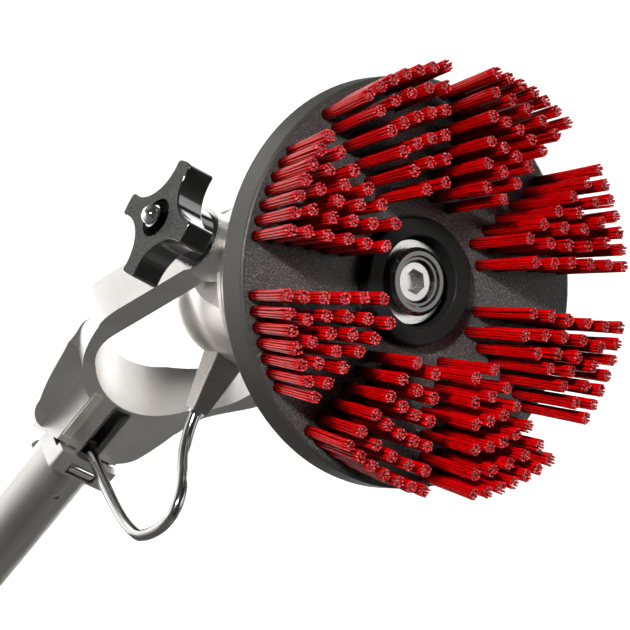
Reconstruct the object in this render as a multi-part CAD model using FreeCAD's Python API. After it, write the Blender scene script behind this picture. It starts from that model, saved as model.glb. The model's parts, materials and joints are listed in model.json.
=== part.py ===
import FreeCAD, Part

import math
import os

V = FreeCAD.Vector
X_AXIS = V(1, 0, 0)
Y_AXIS = V(0, 1, 0)
Z_AXIS = V(0, 0, 1)

# ---------------------------------------------------------------- driving dimensions (mm, degrees)
# The origin is the centre of the pole's lower end. The pole runs up Z and the brush faces -Y.
POLE_LENGTH = 290.0
POLE_R = 15.0
POLE_BORE_R = 13.5
DEPTH_MARK = 120.0          # groove that shows how far the lower end goes into its clamp
PIVOT_RISE = 140.5          # pivot axis above the pole's top end
PIVOT_FORWARD = 49.4        # pivot axis in front of the pole's axis
HEAD_TILT = 51.5            # spin axis away from the pole's direction
ARM_LEAN = 28.0             # fork arms away from the pole's direction

DISC_R = 90.0
DISC_BACK = 77.6            # along the spin axis, from the pivot
DISC_FACE = 92.3
DISC_BOSS_R = 28.0
DISC_BOSS_RISE = 7.0
DISC_RECESS_R = 20.0
DISC_RECESS_DEPTH = 1.6     # below the disc's face

SECTORS = 8
SECTOR_START = -4.1         # centre of the first sector, anticlockwise from +X
TUFT_ROWS = [               # tufts in the row, half angle of the row, radius of the tips
    (7, 14.0, 91.9),
    (5, 13.1, 83.4),
    (5, 12.2, 73.1),
    (4, 10.85, 62.4),
    (3, 10.0, 52.6),
    (2, 7.3, 42.5),
]
TUFT_FREE_LENGTH = 35.7     # above the disc's face
TUFT_ROOT_SHARE = 0.917     # radius of a tuft's root over the radius of its tip
TUFT_R = 2.5
TUFT_TIP_R = 3.0
TUFT_HOLE_DEPTH = 10.0
TUFT_HOLE_GAP = 0.1

ARM_INNER = 38.9            # half the fork's inner width
ARM_OUTER = 51.7
ARM_HALF_DEPTH = 11.75
ARM_BOSS_R = 15.0
ARM_BORE_R = 6.05
STEM_FRONT = 37.0           # behind the pivot
STEM_REAR = 61.0
STEM_HALF_WIDTH = 19.0
STEM_BORE_R = 8.0
STEM_BORE_TOP = -107.0
SPIGOT_R = 13.3
SPIGOT_BOTTOM = -178.0

WINDOW_CENTRE = -73.9       # centre of the fork window's round end, down the arms
REAR_PLATE = 7.0            # thickness behind the pockets, in the stem
FRONT_PLATE = 5.5
POCKET_FLOOR = 1.9          # floor of the pockets in the arms, behind the arms' middle plane
POCKET_SWEEP_R = 36.0       # the floor sweeps forward with this radius ...
POCKET_SWEEP_FROM = -101.0  # ... from this distance down the arms
FORK_SIDE = [(51.7, -55), (46.5, -76), (39, -91), (33.5, -115), (29, -131)]
FORK_FOOT = [(29, -131), (26.5, -138.5), (19, -143)]
BAND_FRONT = [(-53, -50), (-49.5, -70), (-43, -87), (-33, -104), (-14, -117.5)]
BAND_ROOT = [(-53, -68), (-47.5, -84), (-42.3, -94.7), (-32.8, -109.4), (-14, -126.5)]
FAR_PLATE_SIDE = [(44, -84), (37.7, -94.6), (33, -104), (30.1, -113.4), (27.3, -121.7), (24.3, -129)]
FAR_PLATE_FOOT = [(24.3, -129), (21.1, -132.9), (16.5, -136)]

FRONT_BEARING = (46.0, 57.0)     # from and to, along the spin axis
REAR_BEARING = (-57.0, -49.2)
DRIVE_PIN_R = 3.0
DRIVE_PIN_CIRCLE = 22.0
DRIVE_PIN_ANGLES = (30, 210)
SCREW_CIRCLE = 42.0
COVER_SCREWS = 8
COVER_SCREW_R = 2.0
CHEEK_HALF_WIDTH = 36.2
DOME_R = 36.7
DOME_CENTRE = -26.5
DOME_WALL = 3.5
FLANGE_R = 48.5
FLANGE_BACK = 15.2
FLANGE_SPLIT = 17.7
GASKET = 0.6
INLET_END = V(0, -61.7, -37.2)   # centre of the inlet spout's mouth, in the head's frame
INLET_LEAN = 16.3           # spout away from a square exit, towards the dome's rear
INLET_BORE_R = 5.0

KNOB_FACE = -76.7
KNOB_LOBE_DEPTH = 14.0
KNOB_R = 28.2
KNOB_HUB_R = 13.0
KNOB_RECESS_R = 9.1
DOME_NUT_R = 5.2
DOME_NUT_BALL_R = 4.6
DOME_NUT_CENTRE = -79.2     # of the ball end
KNOB_TURN = 67.9            # first lobe, from +Y towards +Z
KNOB_BACK = -53.2

BUTTON_R = 6.0              # snap button in the back of the pole
BUTTON_AT = -163.7          # above the pivot, as the poke hole in the pole's front
BUTTON_REACH = 24.0         # from the pole's axis to its outer end

PIVOT = V(0, -PIVOT_FORWARD, POLE_LENGTH + PIVOT_RISE)
PLAIN_FRAME = FreeCAD.Placement(PIVOT, FreeCAD.Rotation())
HEAD_FRAME = FreeCAD.Placement(PIVOT, FreeCAD.Rotation(X_AXIS, HEAD_TILT))
INLET_PLACE = FreeCAD.Placement(INLET_END, FreeCAD.Rotation(X_AXIS, INLET_LEAN - 90))
POLE_FRAME = FreeCAD.Placement()


# ---------------------------------------------------------------- shape helpers
def closed_wire(points):
    return Part.makePolygon(points + [points[0]])


def prism_x(points_yz, x0, x1):
    """A prism along X from an outline of (y, z) points."""
    outline = closed_wire([V(x0, y, z) for y, z in points_yz])
    return Part.Face(outline).extrude(V(x1 - x0, 0, 0))


def turned(points):
    """A body of revolution about Z from an outline of (radius, z) points."""
    outline = closed_wire([V(r, 0, z) for r, z in points])
    return Part.Face(outline).revolve(V(0, 0, 0), Z_AXIS, 360)


def box(x0, x1, y0, y1, z0, z1):
    return Part.makeBox(x1 - x0, y1 - y0, z1 - z0, V(x0, y0, z0))


def cyl_x(radius, x0, x1, y=0.0, z=0.0):
    return Part.makeCylinder(radius, x1 - x0, V(x0, y, z), X_AXIS)


def cyl_y(radius, y0, y1, x=0.0, z=0.0):
    return Part.makeCylinder(radius, y1 - y0, V(x, y0, z), Y_AXIS)


def cyl_z(radius, z0, z1, x=0.0, y=0.0):
    return Part.makeCylinder(radius, z1 - z0, V(x, y, z0), Z_AXIS)


def ring_x(outer, inner, x0, x1, y=0.0, z=0.0):
    return cyl_x(outer, x0, x1, y, z).cut(cyl_x(inner, x0 - 1, x1 + 1, y, z))


def ring_z(outer, inner, z0, z1):
    return cyl_z(outer, z0, z1).cut(cyl_z(inner, z0 - 1, z1 + 1))


def hexagon(across_flats, height, base, axis):
    """A hexagonal prism standing on base along axis."""
    corner = across_flats / math.sqrt(3)
    points = [V(corner * math.cos(math.radians(60 * k)), corner * math.sin(math.radians(60 * k)), 0)
              for k in range(6)]
    prism = Part.Face(closed_wire(points)).extrude(V(0, 0, height))
    prism.Placement = FreeCAD.Placement(base, FreeCAD.Rotation(Z_AXIS, axis))
    return prism


def polar(radius, degrees, z=0.0):
    angle = math.radians(degrees)
    return V(radius * math.cos(angle), radius * math.sin(angle), z)


def rounded(shape, radius, wanted):
    """Round the edges of shape that wanted(edge) picks."""
    return shape.makeFillet(radius, [edge for edge in shape.Edges if wanted(edge)])


def is_ring(radius, z):
    """Picks the circular edges of one radius at one height."""
    def wanted(edge):
        curve = edge.Curve
        if not hasattr(curve, "Radius") or not hasattr(curve, "Center"):
            return False
        return abs(curve.Radius - radius) < 0.01 and abs(curve.Center.z - z) < 0.01
    return wanted


def at_inlet(shape):
    """Stand a shape made along Z on the spout's mouth, running up into the head."""
    placed = shape.copy()
    placed.Placement = INLET_PLACE.multiply(placed.Placement)
    return placed


def save(name, shape, frame=POLE_FRAME):
    placed = shape.copy()
    placed.Placement = frame.multiply(placed.Placement)
    placed.exportStep("parts/" + name + ".step")


# ---------------------------------------------------------------- brush: disc, tufts, drive
def tuft_axes(sector):
    """Root on the disc's face and unit direction of each tuft of one sector, in the head's frame."""
    axes = []
    middle = SECTOR_START + 360.0 / SECTORS * sector
    for count, half_angle, tip_radius in TUFT_ROWS:
        root_radius = tip_radius * TUFT_ROOT_SHARE
        for k in range(count):
            angle = middle + half_angle * (2.0 * k / (count - 1) - 1)
            root = polar(root_radius, angle, DISC_FACE)
            tip = polar(tip_radius, angle, DISC_FACE + TUFT_FREE_LENGTH)
            axes.append((root, (tip - root).normalize(), (tip - root).Length))
    return axes


def on_pin_circle(z0, z1):
    """The drive pins, or the holes they stand in."""
    return [cyl_z(DRIVE_PIN_R, z0, z1, *polar(DRIVE_PIN_CIRCLE, degrees)[:2])
            for degrees in DRIVE_PIN_ANGLES]


def brush_disc():
    top = DISC_FACE + DISC_BOSS_RISE
    floor = DISC_FACE - DISC_RECESS_DEPTH
    disc = turned([(14, DISC_BACK), (DISC_R, DISC_BACK), (DISC_R, DISC_FACE),
                   (DISC_BOSS_R, DISC_FACE), (DISC_BOSS_R, top), (DISC_RECESS_R, top),
                   (DISC_RECESS_R, floor), (14, floor)])
    disc = rounded(disc, 1.6, is_ring(DISC_R, DISC_FACE))
    disc = rounded(disc, 1.2, is_ring(DISC_R, DISC_BACK))
    disc = rounded(disc, 1.0, is_ring(DISC_BOSS_R, top))
    disc = rounded(disc, 0.8, is_ring(DISC_RECESS_R, top))
    holes = []
    for sector in range(SECTORS):
        for root, direction, _ in tuft_axes(sector):
            start = root - direction * TUFT_HOLE_DEPTH
            holes.append(Part.makeCylinder(TUFT_R + TUFT_HOLE_GAP, TUFT_HOLE_DEPTH + 3, start, direction))
    holes += on_pin_circle(DISC_BACK - 1, DISC_BACK + 6)
    return disc.cut(Part.makeCompound(holes))


def tuft_sector(sector):
    tufts = []
    for root, direction, free in tuft_axes(sector):
        stem = Part.makeCylinder(TUFT_R, TUFT_HOLE_DEPTH, root - direction * TUFT_HOLE_DEPTH, direction)
        bundle = Part.makeCone(TUFT_R, TUFT_TIP_R, free, root, direction)
        tufts.append(stem.fuse(bundle))
    return Part.makeCompound(tufts)


HUB_SEAT = DISC_FACE - 5.0      # where the disc screw's head bears
SPINDLE_PILOT_R = 8.0
SPINDLE_END = 82.0


def hub_insert():
    """Flanged metal bush pressed into the disc: pilot bore behind, screw seat in front."""
    floor = DISC_FACE - DISC_RECESS_DEPTH
    return turned([(8.05, DISC_BACK), (14, DISC_BACK), (14, floor), (18.3, floor), (18.3, floor + 1.8),
                   (9.4, floor + 1.8), (9.4, HUB_SEAT), (6.2, HUB_SEAT), (6.2, SPINDLE_END + 0.2),
                   (8.05, SPINDLE_END + 0.2)])


def hub_collar():
    """Ring that seals around the disc screw's head."""
    base = DISC_FACE - DISC_RECESS_DEPTH + 1.8
    return turned([(9.6, base), (15, base), (15, base + 4.6), (13.2, base + 6.0), (11.4, base + 6.0),
                   (10.6, base + 4.8), (9.6, base + 4.8)])


def disc_screw():
    head_top = DISC_FACE + 3.0
    head = cyl_z(9.0, HUB_SEAT, head_top)
    head = rounded(head, 0.8, is_ring(9.0, head_top))
    shank = cyl_z(6.0, HUB_SEAT - 32, HUB_SEAT)
    socket = hexagon(10, 6, V(0, 0, head_top - 5), Z_AXIS)
    return head.fuse(shank).cut(socket)


def drive_pins():
    return Part.makeCompound(on_pin_circle(DISC_BACK - 7, DISC_BACK + 5.8))


def drive_flange():
    """Sleeve that runs in the seal, with the flange that carries the disc."""
    flange = turned([(8.05, 59.0), (12, 59.0), (12, 68.0), (30, 69.6), (30, DISC_BACK), (8.05, DISC_BACK)])
    return flange.cut(Part.makeCompound(on_pin_circle(DISC_BACK - 7, DISC_BACK + 1)))


TURBINE_BACK = -39.0
TURBINE_FRONT = -22.0


def spindle():
    shaft = turned([(0, -58.0), (6, -58.0), (6, -48.6), (7, -48.6), (7, TURBINE_FRONT),
                    (10, TURBINE_FRONT), (10, 59.0), (SPINDLE_PILOT_R, 59.0),
                    (SPINDLE_PILOT_R, SPINDLE_END), (0, SPINDLE_END)])
    return shaft.cut(cyl_z(6.05, HUB_SEAT - 34, SPINDLE_END + 1))


def turbine_wheel():
    """Hub and rear web with raked bucket blades around the rim."""
    blades = 16
    wheel = turned([(7.02, TURBINE_BACK), (25, TURBINE_BACK), (25, TURBINE_BACK + 2.5),
                    (11, TURBINE_BACK + 4), (11, TURBINE_FRONT), (7.02, TURBINE_FRONT)])
    blade = box(10, 28, -0.9, 0.9, TURBINE_BACK + 1, TURBINE_FRONT - 2)
    blade.rotate(V(19, 0, 0), Z_AXIS, 24)
    solids = []
    for k in range(blades):
        turned_blade = blade.copy()
        turned_blade.rotate(V(0, 0, 0), Z_AXIS, 360.0 / blades * k)
        solids.append(turned_blade)
    wheel = wheel.multiFuse(solids)
    return wheel.cut(cyl_z(7.02, TURBINE_BACK - 1, TURBINE_FRONT + 1))


def turbine_nut():
    nut = hexagon(20, 4.4, V(0, 0, TURBINE_BACK - 4.4), Z_AXIS)
    return nut.cut(cyl_z(7.02, TURBINE_BACK - 6, TURBINE_BACK + 1))


def ball_bearing(bore_r, outer_r, z0, z1, ball_r, count):
    """Inner ring, outer ring and ball set of a deep-groove bearing."""
    pitch = (bore_r + outer_r) / 2
    middle = (z0 + z1) / 2
    land = ball_r * 0.55
    groove = Part.makeTorus(pitch, ball_r, V(0, 0, middle), Z_AXIS)
    wide_groove = Part.makeTorus(pitch, ball_r + 0.3, V(0, 0, middle), Z_AXIS)
    inner = ring_z(pitch - land, bore_r, z0, z1).cut(groove)
    outer = ring_z(outer_r, pitch + land, z0, z1).cut(wide_groove)
    balls = [Part.makeSphere(ball_r, polar(pitch, 360.0 / count * k, middle)) for k in range(count)]
    return inner, outer, Part.makeCompound(balls)


def make_brush():
    save("brush_disc", brush_disc(), HEAD_FRAME)
    for sector in range(SECTORS):
        save("tuft_sector_%d" % (sector + 1), tuft_sector(sector), HEAD_FRAME)
    save("hub_insert", hub_insert(), HEAD_FRAME)
    save("hub_collar", hub_collar(), HEAD_FRAME)
    save("disc_screw", disc_screw(), HEAD_FRAME)
    save("drive_pins", drive_pins(), HEAD_FRAME)
    save("drive_flange", drive_flange(), HEAD_FRAME)
    save("spindle", spindle(), HEAD_FRAME)
    save("turbine_wheel", turbine_wheel(), HEAD_FRAME)
    save("turbine_nut", turbine_nut(), HEAD_FRAME)
    front = ball_bearing(10.02, 21.0, FRONT_BEARING[0], FRONT_BEARING[1], 3.2, 9)
    rear = ball_bearing(6.02, 14.0, REAR_BEARING[0], REAR_BEARING[1], 2.2, 8)
    for place, (inner, outer, balls) in (("front", front), ("rear", rear)):
        save(place + "_bearing_inner", inner, HEAD_FRAME)
        save(place + "_bearing_outer", outer, HEAD_FRAME)
        save(place + "_bearing_balls", balls, HEAD_FRAME)


# ---------------------------------------------------------------- head: housing, inlet, trunnions
def dome_solid():
    """Ball-shaped rear, flaring to the flange, with flat cheeks between the fork arms."""
    edge_z = -29.0
    edge_r = math.sqrt(DOME_R ** 2 - (edge_z - DOME_CENTRE) ** 2)
    middle = math.radians(-45)
    ball = Part.Arc(V(0, 0, DOME_CENTRE - DOME_R),
                    V(DOME_R * math.cos(middle), 0, DOME_CENTRE + DOME_R * math.sin(middle)),
                    V(edge_r, 0, edge_z)).toShape()
    flare = Part.BSplineCurve()
    flare.interpolate([V(edge_r, 0, edge_z), V(37.7, 0, -20.5), V(39.6, 0, -15), V(42.9, 0, -2),
                       V(45, 0, 10)])
    rest = Part.makePolygon([V(45, 0, 10), V(45.4, 0, FLANGE_BACK), V(FLANGE_R, 0, FLANGE_BACK),
                             V(FLANGE_R, 0, FLANGE_SPLIT), V(0, 0, FLANGE_SPLIT),
                             V(0, 0, DOME_CENTRE - DOME_R)])
    outline = Part.Wire([ball, flare.toShape()] + rest.Edges)
    body = Part.Face(outline).revolve(V(0, 0, 0), Z_AXIS, 360)
    for side in (-1, 1):
        inner, outer = sorted((side * CHEEK_HALF_WIDTH, side * 60))
        body = body.cut(box(inner, outer, -60, 60, -70, FLANGE_BACK))
    return body


def screw_circle(radius, z0, z1):
    return [cyl_z(radius, z0, z1, *polar(SCREW_CIRCLE, 22.5 + 360.0 / COVER_SCREWS * k)[:2])
            for k in range(COVER_SCREWS)]


def housing_dome():
    body = dome_solid()
    cavity = Part.makeSphere(DOME_R - DOME_WALL, V(0, 0, DOME_CENTRE))
    cavity = cavity.fuse(turned([(0, DOME_CENTRE), (33, DOME_CENTRE), (35, -12), (37.5, 4),
                                 (37.5, FLANGE_SPLIT + 1), (0, FLANGE_SPLIT + 1)]))
    cavity = cavity.common(box(-30, 30, -60, 60, -70, FLANGE_SPLIT + 2))
    seat = cyl_z(18, -62, REAR_BEARING[1])
    body = body.cut(cavity.cut(seat))
    body = body.cut(cyl_z(14.0, REAR_BEARING[0], REAR_BEARING[1] + 1))
    body = body.cut(cyl_z(7.0, REAR_BEARING[0] - 2, REAR_BEARING[0] + 1))
    boss = at_inlet(cyl_z(INLET_BORE_R + 3.5, 22, 31))
    body = body.fuse(boss.common(Part.makeSphere(DOME_R - 0.3, V(0, 0, DOME_CENTRE))))
    body = body.cut(at_inlet(cyl_z(INLET_BORE_R, 20, 40)))
    body = body.cut(cyl_x(6.0, -CHEEK_HALF_WIDTH - 1, -30.5))
    body = body.cut(cyl_x(6.0, 30.5, CHEEK_HALF_WIDTH + 1))
    tapped = screw_circle(COVER_SCREW_R, FLANGE_SPLIT - 8, FLANGE_SPLIT + 1)
    return body.cut(Part.makeCompound(tapped))


def housing_gasket():
    ring = ring_z(FLANGE_R - 0.6, 38.0, FLANGE_SPLIT, FLANGE_SPLIT + GASKET)
    clearance = screw_circle(COVER_SCREW_R + 0.2, FLANGE_SPLIT - 1, FLANGE_SPLIT + 2)
    return ring.cut(Part.makeCompound(clearance))


COVER_BACK = FLANGE_SPLIT + GASKET
COVER_FLANGE = 4.6


def housing_cover():
    """Front shell: flange, tapering wall with water outlets, bearing seat and seal seat."""
    flange_top = COVER_BACK + COVER_FLANGE
    cover = turned([(34, COVER_BACK), (FLANGE_R, COVER_BACK), (FLANGE_R, flange_top),
                    (38, flange_top + 0.4), (37, 34), (30, 56), (27, 60.5), (20, 66), (16, 66), (16, 59.6),
                    (17.5, 59.6), (17.5, 59), (21, 59), (21, FRONT_BEARING[0]), (19.5, FRONT_BEARING[0]),
                    (19.5, 43), (26, 41), (32, 30)])
    outlets = [cyl_z(2.5, 30, 50, *polar(31, 30 + 60 * k)[:2]) for k in range(6)]
    cover = cover.cut(Part.makeCompound(screw_circle(COVER_SCREW_R + 0.2, COVER_BACK - 1, flange_top + 1)))
    cover = rounded(cover, 0.8, is_ring(FLANGE_R, flange_top))
    return cover.cut(Part.makeCompound(outlets))


def cover_screws():
    """Socket-head screws through the cover's flange into the dome."""
    flange_top = COVER_BACK + COVER_FLANGE + 0.4
    screws = []
    for shank, head in zip(screw_circle(COVER_SCREW_R, FLANGE_SPLIT - 7.5, flange_top),
                           screw_circle(3.4, flange_top, flange_top + 4)):
        axis = head.CenterOfMass
        socket = hexagon(3, 3, V(axis.x, axis.y, flange_top + 2), Z_AXIS)
        screws.append(shank.fuse(head).cut(socket))
    return Part.makeCompound(screws)


def bearing_circlip():
    ring = ring_z(20.9, 18.2, FRONT_BEARING[1], FRONT_BEARING[1] + 1.6)
    return ring.cut(box(-2.5, 2.5, 10, 25, 50, 65))


def shaft_seal():
    """Lip seal pressed into the cover's nose around the rotating sleeve."""
    return turned([(12.08, 62.4), (13.6, 60.4), (15.98, 60.4), (15.98, 65.6), (12.5, 65.6), (13.4, 64.6),
                   (12.08, 63.2)])


def inlet_nipple():
    """Tapering spout of oblong section, one long edge forward, from the dome to the feed tube."""
    length = 32.0
    mouth_half = (4.4, 3.96)
    root_half = (8.7, 6.6)

    def oblong(half, z):
        x, y = half
        return closed_wire([V(-x, -y, z), V(x, -y, z), V(x, y, z), V(-x, y, z)])
    spout = Part.makeLoft([oblong(mouth_half, 0), oblong(root_half, length)], True)
    spout = spout.makeFillet(0.9, [edge for edge in spout.Edges if edge.BoundBox.ZLength > length - 1])
    spout = at_inlet(spout).cut(dome_solid())
    body = spout.fuse(at_inlet(cyl_z(INLET_BORE_R - 0.05, 20, 31.5)))
    body = body.cut(at_inlet(cyl_z(2.6, 14, 40)))
    body = body.cut(at_inlet(cyl_z(1.9, 5, 15)))
    return body.cut(at_inlet(cyl_z(TUBE_R + 0.06, -1, 6)))


def tube_nut():
    """Gland ring that closes the spout's mouth round the feed tube."""
    return at_inlet(ring_z(3.7, TUBE_R + 0.06, -1.5, -0.02))


def jet_nozzle():
    """Insert in the spout whose slanted end turns the jet on to the turbine's blades."""
    barrel = ring_z(2.58, 1.3, 16, 32.5)
    slant = box(-6, 6, -6, 6, 0, 8)
    slant.rotate(V(0, 0, 0), Y_AXIS, 35)
    slant.translate(V(0, 0, 31.2))
    return at_inlet(barrel.cut(slant))


def clamp_stud():
    """Threaded stud from the housing's near cheek, stepped for the knob and for the dome nut."""
    stud = cyl_x(6.0, -53.3, -30.6).fuse(cyl_x(5.0, -66, -53.3))
    return stud.fuse(cyl_x(3.0, -76, -66))


def dome_nut():
    """Hexagonal base in the knob's recess with a ball-ended cap that stands out of it."""
    shoulder = DOME_NUT_CENTRE + 0.6
    ball = Part.makeSphere(DOME_NUT_BALL_R, V(DOME_NUT_CENTRE, 0, 0)).cut(cyl_x(9, shoulder, -60))
    body = hexagon(9.4, 4.0, V(-69.0, 0, 0), -X_AXIS)
    body = body.fuse(cyl_x(DOME_NUT_R, shoulder, -72))
    body = body.cut(cyl_x(3.02, -76.1, -68))
    return body.fuse(ball)


def pivot_bolt():
    """Socket-head bolt through the far arm into the housing's cheek."""
    head = cyl_x(9.5, 53.2, 59.5)
    socket = hexagon(8, 6, V(55.5, 0, 0), X_AXIS)
    return head.fuse(cyl_x(6.0, 30.6, 53.2)).cut(socket)


def make_head():
    save("housing_dome", housing_dome(), HEAD_FRAME)
    save("housing_gasket", housing_gasket(), HEAD_FRAME)
    save("housing_cover", housing_cover(), HEAD_FRAME)
    save("cover_screws", cover_screws(), HEAD_FRAME)
    save("bearing_circlip", bearing_circlip(), HEAD_FRAME)
    save("shaft_seal", shaft_seal(), HEAD_FRAME)
    save("inlet_nipple", inlet_nipple(), HEAD_FRAME)
    save("tube_nut", tube_nut(), HEAD_FRAME)
    save("jet_nozzle", jet_nozzle(), HEAD_FRAME)
    save("clamp_stud", clamp_stud(), PLAIN_FRAME)
    save("dome_nut", dome_nut(), PLAIN_FRAME)
    save("pivot_bolt", pivot_bolt(), PLAIN_FRAME)


# ---------------------------------------------------------------- knob
def knob():
    """Four-lobed handwheel on a conical hub, with a recess in its face for the dome nut."""
    lobe_back = KNOB_FACE + KNOB_LOBE_DEPTH
    scallop_r = 18.5
    scallop_at = 33.5
    wheel = cyl_x(KNOB_R, KNOB_FACE, lobe_back)
    for k in range(4):
        angle = math.radians(KNOB_TURN + 45 + 90 * k)
        y = scallop_at * math.cos(angle)
        z = scallop_at * math.sin(angle)
        wheel = wheel.cut(cyl_x(scallop_r, KNOB_FACE - 1, lobe_back + 1, y, z))
    wheel = wheel.makeFillet(1.7, [edge for edge in wheel.Edges
                                   if abs(edge.tangentAt(edge.FirstParameter).x) > 0.99])
    wheel = wheel.makeFillet(0.8, [edge for edge in wheel.Edges
                                   if abs(edge.BoundBox.XMin - edge.BoundBox.XMax) < 0.01])
    hub = Part.makeCone(KNOB_HUB_R, 12.4, KNOB_BACK - lobe_back + 1, V(KNOB_BACK, 0, 0), -X_AXIS)
    body = wheel.fuse(hub)
    body = body.cut(cyl_x(KNOB_RECESS_R, KNOB_FACE - 1, -68.9))
    return body.cut(cyl_x(7.0, -70, -53)).fuse(ring_x(KNOB_RECESS_R - 0.01, 5.6, -68.9, -67.0))


def knob_insert():
    return ring_x(6.98, 5.05, -66.9, -53.4)


def make_knob():
    save("knob", knob(), PLAIN_FRAME)
    save("knob_insert", knob_insert(), PLAIN_FRAME)


# ---------------------------------------------------------------- fork, pole and feed line
TUBE_R = 2.8
SLOT_HALF_WIDTH = 5.0
SLOT_TOP = -109.0
SLOT_BOTTOM = -139.5
TUBE_PORT = -135.2
HOSE_R = 2.2
HOSE_BACK = 43.7
LATCH_R = 2.75
LATCH_AT = (33.4, -145.0)
COLLAR_SCREW_AT = (43.0, -143.0)
PAD_EDGE = 12.4             # far edge of the stem's raised front pad
PAD_TOP = -108.0
PAD_RISE = 0.6


def in_arm_frame(y, z):
    """A point of the arm's own plane as (y, z) behind and above the pivot."""
    lean = math.radians(ARM_LEAN)
    return (y * math.cos(lean) - z * math.sin(lean), y * math.sin(lean) + z * math.cos(lean))


def in_plan(points):
    return [V(x, 0, z) for x, z in points]


def smooth_curve(points):
    curve = Part.BSplineCurve()
    curve.interpolate(points)
    return curve.toShape()


def yoke_outline():
    """Front outline of the fork, extruded through its depth."""
    side = smooth_curve(in_plan(FORK_SIDE))
    foot = Part.Arc(*in_plan(FORK_FOOT)).toShape()
    end = in_plan(FORK_FOOT)[-1]
    bottom = Part.makePolygon([end, V(end.x, 0, -152), V(0, 0, -152)])
    start = in_plan(FORK_SIDE)[0]
    top = Part.makePolygon([V(0, 0, 25), V(ARM_OUTER, 0, 25), start])
    middle = Part.LineSegment(V(0, 0, -152), V(0, 0, 25)).toShape()
    half = Part.Face(Part.Wire([side, foot] + bottom.Edges + [middle] + top.Edges))
    half.translate(V(0, -60, 0))
    half = half.extrude(V(0, 160, 0))
    return half.fuse(half.mirror(V(0, 0, 0), X_AXIS)).removeSplitter()


def yoke_side():
    """Side outline: leaning arms that run into the upright stem with its slanted foot."""
    d = ARM_HALF_DEPTH
    lean = math.radians(ARM_LEAN)
    front_join = -(STEM_FRONT + d * math.cos(lean)) / math.sin(lean)
    rear_join = -(STEM_REAR - d * math.cos(lean)) / math.sin(lean)
    points = [in_arm_frame(-d, 0), in_arm_frame(-d, front_join), (STEM_FRONT, -137), (STEM_REAR, -148),
              in_arm_frame(d, rear_join), in_arm_frame(d, 0)]
    return prism_x(points, -60, 60)


def fork_window():
    """Round-ended gap between the arms, cut square to their lean."""
    depth = 200
    gap = cyl_y(ARM_INNER, -depth, depth, 0, WINDOW_CENTRE)
    gap = gap.fuse(box(-ARM_INNER, ARM_INNER, -depth, depth, WINDOW_CENTRE, 60))
    gap.rotate(V(0, 0, 0), X_AXIS, ARM_LEAN)
    return gap


def pocket_plan(band, y):
    """Outline of the hollow outside the window's band, in the arm's frame at one depth."""
    points = in_plan(band)
    rest = Part.makePolygon([points[-1], V(points[-1].x, 0, -170), V(-70, 0, -170), V(-70, 0, points[0].z),
                             points[0]])
    outline = Part.Wire([smooth_curve(points)] + rest.Edges)
    outline.translate(V(0, y, 0))
    return outline


def pocket_prism():
    """The hollow on one side: the band is straight at its front and spreads towards its root."""
    front = -ARM_HALF_DEPTH - 0.5
    prism = Part.Face(pocket_plan(BAND_FRONT, front)).extrude(V(0, -80, 0))
    spread = Part.makeLoft([pocket_plan(BAND_FRONT, front), pocket_plan(BAND_ROOT, POCKET_FLOOR + 0.5)],
                           True, True)
    prism = prism.fuse(spread)
    prism.rotate(V(0, 0, 0), X_AXIS, ARM_LEAN)
    return prism


def rear_plate_zone():
    """Everything behind the pockets' floor, which sweeps forward through the arms at its top."""
    lean = math.radians(ARM_LEAN)
    back = STEM_REAR - REAR_PLATE
    join = -(back - POCKET_FLOOR * math.cos(lean)) / math.sin(lean)
    side = -80.0

    def corner(y, z):
        return V(side, *in_arm_frame(y, z))

    def on_sweep(degrees):
        turn = math.radians(degrees)
        return corner(POCKET_FLOOR - POCKET_SWEEP_R * (1 - math.cos(turn)),
                      POCKET_SWEEP_FROM + POCKET_SWEEP_R * math.sin(turn))
    sweep = Part.Arc(on_sweep(0), on_sweep(28), on_sweep(56)).toShape()
    rest = Part.makePolygon([on_sweep(56), corner(-40, 60), V(side, 130, 60), V(side, 130, -170),
                             V(side, back, -170), corner(POCKET_FLOOR, join), on_sweep(0)])
    face = Part.Face(Part.Wire([sweep] + rest.Edges))
    return face.extrude(V(-2 * side, 0, 0))


def front_plate_zone():
    """Everything within the front plate's thickness of the fork's front."""
    inner = -ARM_HALF_DEPTH + FRONT_PLATE
    lean = math.radians(ARM_LEAN)
    join = -(STEM_FRONT + FRONT_PLATE - inner * math.cos(lean)) / math.sin(lean)
    front = STEM_FRONT + FRONT_PLATE
    points = [in_arm_frame(inner, 40), in_arm_frame(inner, join), (front, -170), (-90, -170), (-90, 60)]
    return prism_x(points, -80, 80)


def far_front_trim():
    """What the far front plate lacks of the fork's outline: it is narrower than the rear plate."""
    side = in_plan(FAR_PLATE_SIDE)
    foot = in_plan(FAR_PLATE_FOOT)
    rest = Part.makePolygon([foot[-1], V(foot[-1].x, 0, -160), V(70, 0, -160), V(70, 0, side[0].z),
                             side[0]])
    face = Part.Face(Part.Wire([smooth_curve(side), Part.Arc(*foot).toShape()] + rest.Edges))
    face.translate(V(0, STEM_FRONT - 1, 0))
    return face.extrude(V(0, FRONT_PLATE + 1.5, 0))


def slot_shape(half_width, margin, y0, y1):
    """Square-topped slot with eased corners; margin is left clear at its bottom."""
    top = SLOT_TOP - SLOT_HALF_WIDTH + half_width
    shape = box(-half_width, half_width, y0, y1, SLOT_BOTTOM + margin, top)
    return shape.makeFillet(1.2, [edge for edge in shape.Edges
                                  if abs(edge.tangentAt(0).y) > 0.99 and edge.CenterOfMass.z > -120])


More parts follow.
